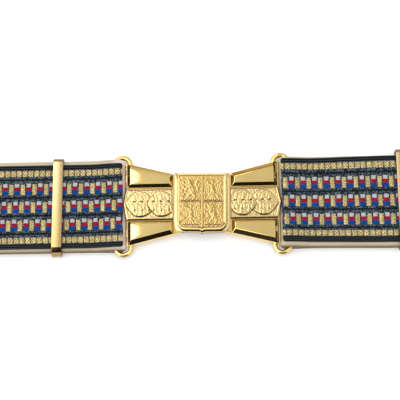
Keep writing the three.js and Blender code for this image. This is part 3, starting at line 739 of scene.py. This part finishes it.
def wing_block(hand, outer):
    """One bevelled block on a wing's plate, with a slightly crowned face."""
    half = wing_half_at(BLOCK_END)
    points = [
        (outer, BLOCK_EDGE), (outer, wing_half_at(outer)), (BLOCK_END, half), (BLOCK_END, BLOCK_EDGE)]
    bevels = np.array([outer - FACE_END, 2.55, 1.9, 1.85])
    wall_top, top = PLATE_TOP + 0.2, BLOCK_TOP - 0.15
    steps = (
        (0.02, PLATE_TOP - 0.3), (0.02, wall_top - 0.05), (0.05, wall_top + 0.04), (0.1, wall_top + 0.12),
        (0.93, top - 0.04), (0.98, top - 0.005), (1.03, top))
    rows = [inset_row(points, bevels * part, 0.25, z) for part, z in steps]
    rows += crowned_rows(rows[-1], (1, 0.99, 0.96, 0.9, 0.8, 0.65, 0.45, 0.2), 0.12)
    rows = np.stack(rows)
    rows[..., 1] *= hand
    return sweep("block", rows)


def box_piece(low, high):
    corners = [(low[0], low[1]), (high[0], low[1]), (high[0], high[1]), (low[0], high[1])]
    return sweep("box", np.array([[(x, y, z) for x, y in corners] for z in (low[2], high[2])]), smooth=False)


def rod_piece(x, z, radius, half):
    return sweep("rod", np.array([
        [(x + across, y, z + up) for across, up in circle(radius, 20)] for y in (-half, half)]))


def both_ways(start, end):
    """A span in Y and its mirror image."""
    return (-end, -start), (start, end)


def cut(piece, cutter):
    """A boolean cut, worked out at once; the cutter is removed."""
    step = piece.modifiers.new("cut", "BOOLEAN")
    step.object = cutter
    step.operation = "DIFFERENCE"
    step.solver = "EXACT"
    step.use_self = True
    shape = bpy.data.meshes.new_from_object(piece.evaluated_get(bpy.context.evaluated_depsgraph_get()))
    piece.modifiers.clear()
    piece.data = shape
    bpy.data.objects.remove(cutter)


def make_wing(side, material):
    leg = RING_X - RING_RADIUS
    parts = [wing_base(WING_LIP[side])]
    for low, high in both_ways(LUG_FROM, LUG_TO):
        parts.append(box_piece(
            (leg - LUG_HALF, low, LUG_BOTTOM), (leg + LUG_HALF, high, PLATE_BOTTOM + 0.2)))
    base = joined(parts, material)
    cut(base, rod_piece(leg, FOLD_HEIGHT, LUG_BORE, 30))
    for low, high in both_ways(RING_STRAIGHT - NOTCH, RING_STRAIGHT + NOTCH):
        cut(base, box_piece(
            (leg - LUG_BORE, low, SKIRT_BOTTOM - 1), (WING_OUTER + 1, high, FOLD_HEIGHT + LUG_BORE)))
    outer = WING_OUTER + WING_LIP[side] - RIM
    piece = joined([base, wing_block(1, outer), wing_block(-1, outer)], material)
    for pocket in POCKETS:
        for low, high in both_ways(*pocket):
            cut(piece, box_piece((POCKET_INNER, low, POCKET_FLOOR), (POCKET_OUTER, high, BLOCK_TOP)))
    places = np.zeros(len(piece.data.vertices) * 3)
    piece.data.vertices.foreach_get("co", places)
    _, up, level = places.reshape(-1, 3).T / MM
    # Painted shade on the pockets' floors, and a deeper colour painted as shade over the upper bevels, fading
    # towards their top.
    set_marks(piece, "dull_and_shade", np.abs(level - POCKET_FLOOR) < 0.1)
    set_marks(piece, "deep", (up > 0) & (np.abs(level - PLATE_TOP - 0.3) < 0.2))
    if side < 0:
        piece.data.transform(Matrix.Diagonal((-1, 1, 1, 1)))
        piece.data.flip_normals()
    name = SIDE_NAME[side]
    piece.name = f"cast_wing_{name}"
    piece.data.set_sharp_from_angle(angle=math.radians(5))
    finish_piece(piece, f"wing_{name}", "belt", material)


# The leaf panels

# The strokes at each of a leaf's stations, and each leaf's two ends, half width and stations
PETALS = chained(
    ((0, 2.7, 0.95), (0.5, 4.3, 0.7)), ((-1.7, 2.9, 0.5), (-1.3, 4.6, 0.4)),
    ((0.6, -1.7, 0.6), (0.2, -4.5, 0.5)), ((-1.1, -1.7, 0.5), (-1.4, -4.7, 0.4)))
PITS = chained(((-0.6, 1.15, 0.4), (0.6, 1.5, 0.34)), ((-0.5, -3.1, 0.42), (0.1, -3.9, 0.3)))
LEAVES = ((40.4, 25.8, 6.9, (35.9, 32.0, 28.4)), (29.0, 14.4, 6.9, (25.9, 21.8, 17.7)))


def leaf_height(x, y):
    """Two overlapping leaves with a tip, petals, pits and a faint midrib, cut into a stippled ground; its
    marks are painted shade in the outlines, heaviest below, in the pits and along the midrib.
    """
    height, marks = STIPPLE * hash_noise(x, y, 0.7, 9), np.zeros_like(x)
    for start, end, half, stations in LEAVES:
        middle, reach = (start + end) / 2, (start - end) / 2
        across, up = (x - middle) / reach, np.abs(y / half)
        power = 2 - 0.5 * smoothstep(0, 0.7, across)
        rim = (np.abs(across) ** power + up ** power) ** (1 / power)
        petals, pits = (np.maximum.reduce([raised(x, y, strokes, at) for at in stations])
                        for strokes in (PETALS, PITS))
        leaf = 0.16 + 0.14 * np.sqrt(np.clip(1 - rim ** 2, 0, 1)) + 0.08 * petals - 0.4 * pits
        leaf = leaf - 0.06 * dome(y + 0.1, 0.26) + 0.08 * (hash_noise(x, y, 0.75, 11) - 0.5)
        height = np.where(rim < 1, leaf, height)
        below = smoothstep(2, -2, y)
        line = dome((rim - 1) * reach, 0.3 + 0.2 * below)
        height = height - (0.1 + 0.2 * below) * line
        marks = np.maximum(marks * (rim > 1), (0.35 + 0.6 * below) * line)
        marks = np.maximum.reduce([marks, np.clip(2 * pits, 0, 0.9), 0.5 * dome(y + 0.1, 0.3) * (rim < 1)])
    return height, marks


def make_panel(side, material):
    s, t = np.meshgrid(np.linspace(0, 1, 225), np.linspace(-1, 1, 150))
    end = PANEL_TIP - (PANEL_TIP - PANEL_SHOULDER) * np.abs(t)
    inner_end = PANEL_INNER - RIGHT_NARROWER * (side > 0)
    x, y = inner_end + s * (end - inner_end), t * PANEL_HALF
    to_edge = np.minimum.reduce([PANEL_HALF - np.abs(y), end - x, x - inner_end + 0.8])
    border = np.clip(to_edge / 0.7, 0, 1)
    groove = 0.2 * dome(to_edge - 1.25, 0.25) * (y > 0)
    inner = smoothstep(1.35, 1.6, to_edge)
    height, marks = leaf_height(x, y)
    z = PANEL_TOP - 0.5 + 0.5 * border - groove + inner * (height - 0.1)
    shadow_by_shield = smoothstep(inner_end + 0.7, inner_end + 0.35, x)
    name = SIDE_NAME[side]
    rim = 1 - np.clip(to_edge / 0.3, 0, 1)
    # Painted shade: in the hollows, in the leaves' marks, a shadow beside the shield and a dark rim round the
    # edge, over the panel's duller tone.
    dull_and_shade = np.maximum.reduce([PANEL_DULL + 0.3 * hollow_shade(z), inner * marks, 0.7 * shadow_by_shield, rim])
    piece = grid_piece(f"leaf_relief_{name}", x * side, y, z, dull_and_shade, PANEL_BOTTOM)
    finish_piece(piece, f"leaf_panel_{name}", "belt", material)


# Materials

def operator(operation):
    def method(self, *others):
        return self.nodes.math(operation, self, *others)
    return method


class Value:
    """A node's output that can be worked with like a number."""

    def __init__(self, nodes, socket):
        self.nodes, self.socket = nodes, socket

    def __rsub__(self, other):
        return self.nodes.math("SUBTRACT", other, self)

    __add__, __sub__, __mul__ = operator("ADD"), operator("SUBTRACT"), operator("MULTIPLY")
    __lt__, __gt__, __abs__ = operator("LESS_THAN"), operator("GREATER_THAN"), operator("ABSOLUTE")


class Nodes:
    """Short calls for the nodes of a material or a world."""

    def __init__(self, owner):
        owner.use_nodes = True
        self.owner, self.tree = owner, owner.node_tree

    def put(self, socket, value):
        if isinstance(value, Value):
            self.tree.links.new(value.socket, socket)
        else:
            socket.default_value = (*value, 1) if socket.type == "RGBA" else value

    def node(self, kind, inputs, output=0, **settings):
        """One output of a new node, with its settings made and its inputs filled or linked."""
        node = self.tree.nodes.new(kind)
        for key, setting in settings.items():
            setattr(node, key, setting)
        for key, value in inputs.items():
            self.put(node.inputs[key], value)
        return Value(self, node.outputs[output])

    def place(self):
        return self.node("ShaderNodeTexCoord", {}, "Object")

    def attribute(self, name, output="Fac"):
        return self.node("ShaderNodeAttribute", {}, output, attribute_name=name)

    def split(self, vector):
        first = self.node("ShaderNodeSeparateXYZ", {0: vector})
        return [Value(self, socket) for socket in first.socket.node.outputs]

    def math(self, operation, *values):
        return self.node("ShaderNodeMath", dict(enumerate(values)), operation=operation)

    def greater(self, a, b):
        return self.math("MAXIMUM", a, b)

    def mix(self, factor, a, b):
        return self.node("ShaderNodeMix", {0: factor, 6: a, 7: b}, 2, data_type="RGBA")

    def noise(self, place, scale, detail):
        inputs = {"Vector": place, "Scale": scale, "Detail": detail}
        return self.node("ShaderNodeTexNoise", inputs, "Fac")

    def spread(self, value, low, high, to_low=0.0, to_high=1.0):
        inputs = enumerate((value, low, high, to_low, to_high))
        return self.node("ShaderNodeMapRange", dict(inputs))

    def bump(self, height, distance, strength):
        inputs = {"Height": height, "Distance": distance, "Strength": strength}
        return self.node("ShaderNodeBump", inputs, "Normal")

    def finish(self, **inputs):
        """The material, with its shader's inputs filled or linked."""
        shader = self.tree.nodes["Principled BSDF"]
        for key, value in inputs.items():
            self.put(shader.inputs[key.replace("_", " ")], value)
        return self.owner


# Dark brown for a duller tone and painted shade, and a deeper, warmer colour that is partly painted shade
WHITE, DULL_AND_SHADE_TONE, DEEPER_TONE_AND_SHADE = (1, 1, 1), (0.03, 0.012, 0.003), (0.85, 0.77, 0.57)
DULL_AND_SHADE_STRENGTH = 0.95


def gilt_material(name, base, deep, roughness, scratch):
    """Gold plate: a warm metal with faint scratches and uneven polish; its marks mix in a duller tone and
    painted shade, and a deeper colour that is partly painted shade.
    """
    n = Nodes(bpy.data.materials.new(name))
    place = n.place()
    patch = n.noise(place, 90.0, 3.0)
    fine = n.noise(place, 2600.0, 2.0)
    tint = n.mix(n.spread(patch, 0.35, 0.7), base, deep)
    # A deeper, warmer colour, partly painted shade, multiplied in by the deep mark.
    deeper_and_shaded = n.mix(n.attribute("deep"), WHITE, DEEPER_TONE_AND_SHADE)
    tint = n.node("ShaderNodeVectorMath", {0: tint, 1: deeper_and_shaded}, operation="MULTIPLY")
    # A duller tone and painted shade, from the mesh's marks, mix the colour towards dark brown.
    dark = n.attribute("dull_and_shade") * DULL_AND_SHADE_STRENGTH
    if name == "wing_gilt":
        # Painted shade, patchy, on the wings' outer end slopes.
        x, _, z = n.split(place)
        slope = (abs(x) > (FACE_END + 0.15) * MM) * (z > (PLATE_TOP + 0.15) * MM)
        shade = n.spread(n.noise(place, 260.0, 1.0), 0.4, 0.6, 0.45, 0.95)
        dark = n.greater(dark, slope * shade)
    tint = n.mix(dark, tint, DULL_AND_SHADE_TONE)
    rough = n.spread(patch + fine * 0.4, 0.3, 1.1, roughness * 0.7, roughness * 1.4)
    return n.finish(
        Base_Color=tint, Metallic=1.0, Roughness=rough, Normal=n.bump(fine, 0.00001, scratch))


# The fold's pale tone is a painted highlight, and the lower edge's brown painted shade.
CREAM, CREAM_STAIN, CREAM_FOLD_HIGHLIGHT = (0.54, 0.47, 0.32), (0.46, 0.39, 0.26), (0.68, 0.57, 0.51)
CUT_EDGE, LOWER_EDGE_SHADE = (0.12, 0.07, 0.035), (0.12, 0.08, 0.03)


def leather_material():
    """Cream leather with a painted highlight over the fold, dark at its cut edges, and with painted shade
    darkening it further towards the lower one.
    """
    n = Nodes(bpy.data.materials.new("cream_leather"))
    place = n.place()
    along, across, _ = n.split(n.attribute("strap", "Vector"))
    half = STRAP_WIDTH / 2
    cells = n.node("ShaderNodeTexVoronoi", {"Vector": place, "Scale": 1400.0}, "Distance")
    grain = cells + n.noise(place, 500.0, 4.0)
    tint = n.mix(n.spread(n.noise(place, 60.0, 3.0), 0.3, 0.7), CREAM, CREAM_STAIN)
    from_fold = abs(along - (TAIL - FOLD_X + 4))
    # Painted highlight over the fold.
    tint = n.mix(n.spread(from_fold, 4.5, 9, 1, 0), tint, CREAM_FOLD_HIGHLIGHT)
    edge = n.spread(abs(across), half - 0.2, half - 0.05)
    tint = n.mix(edge * 0.85, tint, CUT_EDGE)
    # Painted shade towards the lower edge.
    tint = n.mix(n.spread(across, 0.2 - half, 1.5 - half, 0.9, 0), tint, LOWER_EDGE_SHADE)
    return n.finish(Base_Color=tint, Roughness=0.5, Normal=n.bump(grain, 0.00008, 0.6))


# The threads' colours: the blocks' three rows, the metal thread by its tone, and the dark weave
BLUE, RED = (0.004, 0.058, 0.26), (0.33, 0.010, 0.026)
PALE, PALE_ROSY = (0.42, 0.50, 0.50), (0.56, 0.48, 0.49)
GOLD_THREAD = (
    (0.0, (0.03, 0.025, 0.012)), (0.3, (0.22, 0.165, 0.05)), (0.62, (0.50, 0.41, 0.16)),
    (1.0, (0.84, 0.73, 0.42)))
COPPER = (0.75, 0.30, 0.22)
PIT, GREEN_DARK, VIOLET_DARK = (0.003, 0.006, 0.008), (0.028, 0.085, 0.090), (0.070, 0.060, 0.115)
GLINT, SEAM = (0.20, 0.23, 0.25), (0.002, 0.003, 0.004)
# The grooves' near-black is painted shade.
CORD_GROOVE_SHADE, CORD_TOP = (0.001, 0.002, 0.003), (0.042, 0.048, 0.052)


def brocade_material():
    """The woven face: the same rows and blocks as the relief, in thread colours, with painted shade in the
    grooves between the selvedge's cords and towards the gaps between the twisted rows' lobes.
    """
    n = Nodes(bpy.data.materials.new("brocade_threads"))
    place = n.attribute("weave", "Vector")
    u, w, _ = n.split(place)

    def wave(value, period):
        return n.math("SINE", value * (2 * math.pi / period))

    def wrap(value, period):
        return n.math("WRAP", value, period / 2, -period / 2)

    wobble = (n.noise(place, 1.1, 2.0) - 0.5) * 0.8
    skew, edge_w = u + wobble, w + wobble * 0.35
    block = wrap(skew - BLOCK_PHASE, WEAVE_PERIOD)
    row = wrap(edge_w - ROW_MIDDLE, ROW_PITCH)
    from_block = abs(block)
    in_rows = abs(w - ROW_MIDDLE) < ROWS_EDGE
    narrow = n.greater(row < WHITE_FROM, from_block < 1.15)
    block_mask = in_rows * (from_block < 1.4) * narrow * (row < 2.9) * (row > -3.35)
    gold_mask = in_rows * (from_block > WEAVE_PERIOD / 2 - 1.12) * (row < 2.4) * (row > -3.3)
    lobe = abs(wrap(skew, WEAVE_PERIOD / 2))
    across = edge_w - ((w > 0) * (TWIST_UPPER - TWIST_LOWER) + TWIST_LOWER)
    from_gap = n.spread(lobe, LOBE_HALF - 0.15, WEAVE_PERIOD / 4)
    twist_mask = abs(across) < n.spread(from_gap, 0, 1, TWIST_HALF, 0.45 * TWIST_HALF)
    metal = n.greater(gold_mask, twist_mask)

    fleck = n.noise(place, 2.4, 3.0)
    patch = n.noise(place, 1.0, 2.0)
    thread_u, thread_w = wave(u, 0.42), wave(w, 0.62)
    plait = n.greater(wave(u + across, PLAIT), wave(u - across, PLAIT))
    strands = n.mix(twist_mask, wave(block * 0.3 + row, RIB), plait)
    level = strands * n.spread(twist_mask, 0, 1, 0.12, 0.40) + n.spread(twist_mask, 0, 1, 0.54, 0.36)
    # Painted shade on the twisted rows' lobes, towards the gaps between them.
    level = level - twist_mask * from_gap * 0.55
    thread = n.node("ShaderNodeValToRGB", {0: (fleck - 0.5) * 2.4 + level})
    stops = thread.socket.node.color_ramp.elements
    while len(stops) < len(GOLD_THREAD):
        stops.new(0.5)
    for stop, (at, tone) in zip(stops, GOLD_THREAD):
        stop.position = at
        stop.color = (*tone, 1)
    metal_tint = n.mix(n.spread(patch, 0.55, 0.7, 0, 0.35), thread, COPPER)

    pale = n.mix(n.spread(patch, 0.35, 0.65), PALE, PALE_ROSY)
    tricolour = n.mix(row > -1.1, BLUE, n.mix(row > WHITE_FROM, RED, pale))
    shade = n.spread(thread_u * 0.14 + fleck, 0.25, 0.75, 0.55, 1.25)
    tricolour = n.node("ShaderNodeVectorMath", {0: tricolour, "Scale": shade}, operation="SCALE")

    cold = n.mix(n.spread(n.noise(place, 0.55, 3.0), 0.42, 0.56), GREEN_DARK, VIOLET_DARK)
    crossing = wave(u + w * 0.8, 1.05) * wave(u - w * 1.1, 1.35)
    tone = crossing * 0.42 + (fleck * 2.2 + (n.noise(place, 1.3, 1.0) * 4.0 - 2.6))
    dark = n.mix(n.spread(tone, 0.0, 0.8), PIT, cold)
    dark = n.mix(n.spread(tone, 0.7, 1.5, 0, 0.8), dark, GLINT)
    seam = n.spread(abs(row), ROW_PITCH / 2 - 0.75, ROW_PITCH / 2 - 0.3) * (abs(w) < ROWS_EDGE + 0.8)
    dark = n.mix(seam * 0.85, dark, SEAM)
    # Painted shade in the grooves between the selvedge's cords.
    cord = abs(wave(abs(w) - SELVEDGE, 2 * CORD)) + (fleck * 0.8 - 0.4)
    dark = n.mix(abs(w) > SELVEDGE - 0.5, dark, n.mix(n.spread(cord, 0.6, 1.0), CORD_GROOVE_SHADE, CORD_TOP))

    tint = n.mix(metal, n.mix(block_mask, dark, tricolour), metal_tint)
    height = thread_u * 0.5 + (crossing + thread_w)
    return n.finish(
        Base_Color=tint, Roughness=n.spread(metal, 0, 1, 0.8, 0.42), Metallic=metal * 0.55,
        Specular_IOR_Level=n.spread(metal, 0, 1, 0.08, 0.2), Normal=n.bump(height, 0.00006, 0.8))


def floor_material():
    n = Nodes(bpy.data.materials.new("pale_floor"))
    grain = n.noise(n.place(), 40.0, 2.0)
    tint = n.mix(n.spread(grain, 0, 1), (0.93, 0.93, 0.93), (0.95, 0.95, 0.95))
    return n.finish(Base_Color=tint, Roughness=0.8, Emission_Color=WHITE, Emission_Strength=0.15)


# The setting

DAYLIGHT, WARM_SKY = 1.1, (1.0, 0.78, 0.42)


def make_camera():
    """The belt is seen from its lower side, a little off square, and turned about a degree."""
    elevation, roll = math.radians(76), math.radians(-1.1)
    distance, width = 0.85, 0.2124
    target = Vector((-0.0012, 0.00195, 0.0067))
    data = bpy.data.cameras.new("camera")
    camera = linked("camera", data)
    back = Vector((0, -math.cos(elevation), math.sin(elevation)))
    turn = (-back).to_track_quat("-Z", "Y").to_matrix().to_4x4()
    camera.matrix_world = Matrix.Translation(target + back * distance) @ turn @ Matrix.Rotation(roll, 4, "Z")
    data.sensor_width = 36.0
    data.lens = 36.0 * distance / width
    bpy.context.scene.camera = camera


def make_softbox():
    """A wide soft light from the upper left, which the gold doesn't mirror."""
    data = bpy.data.lights.new("softbox", "AREA")
    data.shape = "RECTANGLE"
    data.size, data.size_y, data.energy = 1.8, 1.4, 7
    light = linked("softbox", data)
    light.location = (-0.4, 0.5, 1.4)
    light.rotation_mode = "QUATERNION"
    light.rotation_quaternion = (-light.location).to_track_quat("-Z", "Y")
    light.visible_glossy = False


def make_world():
    """A studio sky, seen only in the gold: bright to the left, warm low beyond it, dark behind the camera."""
    world = bpy.data.worlds.new("studio")
    bpy.context.scene.world = world
    n = Nodes(world)
    n.tree.nodes.clear()
    way = n.node("ShaderNodeTexCoord", {}, "Generated")

    def facing(azimuth, elevation, low, high, at_low, at_high):
        """A level that changes with the angle from one direction, given in degrees."""
        turn, rise = math.radians(azimuth), math.radians(elevation)
        aim = (math.sin(turn) * math.cos(rise), math.cos(turn) * math.cos(rise), math.sin(rise))
        near = n.node("ShaderNodeVectorMath", {0: way, 1: aim}, "Value", operation="DOT_PRODUCT")
        limits = math.cos(math.radians(low)), math.cos(math.radians(high))
        level = n.spread(near, *limits, at_low, at_high)
        level.socket.node.interpolation_type = "SMOOTHSTEP"
        return level

    corner = facing(-30, 0, 42, 31, 0, 1)
    left = facing(-90, 0, 86.3, 85.9, 0, 2.3) * (1 - corner)
    tilt = facing(-90, 0, 91.5, 87.5, 0.7, 0.79)
    right = facing(90, 35, 48, 25, 0, 0.35)
    glow = facing(180, 36, 56, 44, 0, 0.5)
    behind = facing(180, 36, 36, 27, 1, 0.01)
    horizon = facing(0, 90, 76, 84, 1, 0.35)
    sky = (left + glow + (tilt + right)) * behind * (1 - corner * 0.5) * horizon
    in_mirror = n.node("ShaderNodeLightPath", {}, "Is Glossy Ray")
    to_camera = n.node("ShaderNodeLightPath", {}, "Is Camera Ray")
    strength = n.greater(sky * in_mirror + (1 - in_mirror) * DAYLIGHT, to_camera)
    tint = n.mix(corner * in_mirror, WHITE, WARM_SKY)
    background = n.node("ShaderNodeBackground", {"Color": tint, "Strength": strength})
    output = n.tree.nodes.new("ShaderNodeOutputWorld")
    n.put(output.inputs["Surface"], background)


def make_floor():
    bpy.ops.mesh.primitive_plane_add(size=14)
    floor = bpy.context.object
    floor.name = "floor"
    floor.data.materials.append(floor_material())


def dress_clasp(material, bevel):
    """The clasp plate is the model's own solid, with its flat faces merged and its edges softened."""
    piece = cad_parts["clasp_plate"]
    set_material(piece, material)
    flat = piece.modifiers.new("flat", "DECIMATE")
    flat.decimate_type = "DISSOLVE"
    flat.angle_limit = math.radians(1)
    edges = piece.modifiers.new("edges", "BEVEL")
    edges.width = bevel * MM
    edges.segments = 2
    edges.limit_method = "ANGLE"
    edges.angle_limit = math.radians(20)


def build():
    wing = gilt_material("wing_gilt", (0.94, 0.70, 0.285), (0.89, 0.65, 0.24), 0.05, 0.03)
    wire = gilt_material("wire_gilt", (0.88, 0.64, 0.24), (0.76, 0.53, 0.16), 0.14, 0.08)
    satin = gilt_material("satin_gilt", (0.57, 0.43, 0.24), (0.54, 0.40, 0.20), 0.25, 0.12)
    chased = gilt_material("chased_gilt", (0.92, 0.71, 0.34), (0.87, 0.65, 0.28), 0.24, 0.1)
    make_camera()
    make_world()
    make_floor()
    make_softbox()
    make_lining(leather_material())
    make_brocade(brocade_material())
    for name in ("keeper_left", "keeper_right"):
        make_keeper(name, satin)
    for side in (-1, 1):
        make_ring(side, wire)
        make_panel(side, chased)
        make_wing(side, wing)
    make_shield(chased)
    dress_clasp(satin, 0.2)
    bpy.context.scene.view_settings.view_transform = "Standard"


build()
